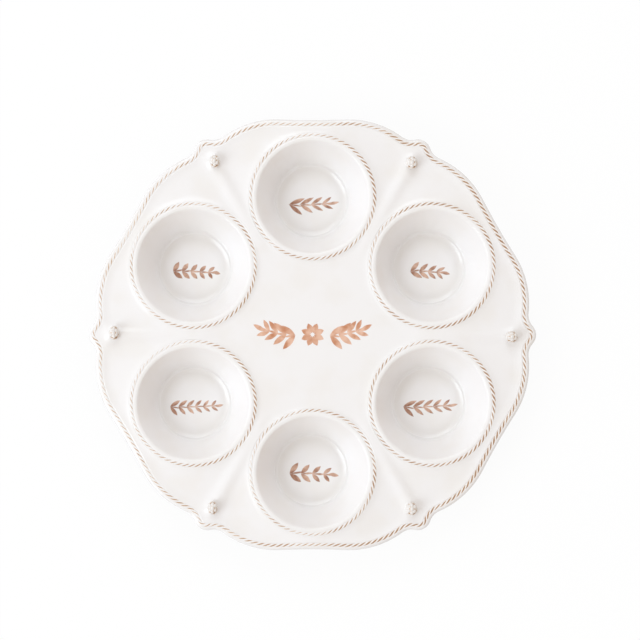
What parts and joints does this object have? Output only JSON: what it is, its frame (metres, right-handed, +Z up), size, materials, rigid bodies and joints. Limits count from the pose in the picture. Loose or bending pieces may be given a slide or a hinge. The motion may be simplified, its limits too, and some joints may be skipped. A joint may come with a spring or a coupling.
{
  "type": "seder plate",
  "caption": "White glazed ceramic seder plate with a lobed rope-bordered rim, rope-ringed wells for the symbolic foods, ribs and small berry knobs.",
  "frame": {"origin": "under the middle of the plate, on the plane of the foot rings", "axes": "+Z up, +X towards a point of the edge, +Y towards the maror well, which is the top of the picture"},
  "size_m": [0.3934, 0.3788, 0.0449],
  "materials": {
    "white_glaze": "glossy warm white glaze with a copper-brown brushed motif",
    "rope_glaze": "white glaze over copper-brown wash in the grooves between the strands",
    "berry_glaze": "white glaze over copper-brown wash between the drupelets"
  },
  "bodies": {
    "root": {"plate_body": "white_glaze", "rim_rope": "rope_glaze", "zeroa_well": "white_glaze", "maror_well": "white_glaze", "beitzah_well": "white_glaze", "karpas_well": "white_glaze", "chazeret_well": "white_glaze", "charoset_well": "white_glaze", "zeroa_well_rope": "rope_glaze", "maror_well_rope": "rope_glaze", "beitzah_well_rope": "rope_glaze", "karpas_well_rope": "rope_glaze", "chazeret_well_rope": "rope_glaze", "charoset_well_rope": "rope_glaze", "berry_1": "berry_glaze", "berry_2": "berry_glaze", "berry_3": "berry_glaze", "berry_4": "berry_glaze", "berry_5": "berry_glaze", "berry_6": "berry_glaze"}
  },
  "joints": []
}
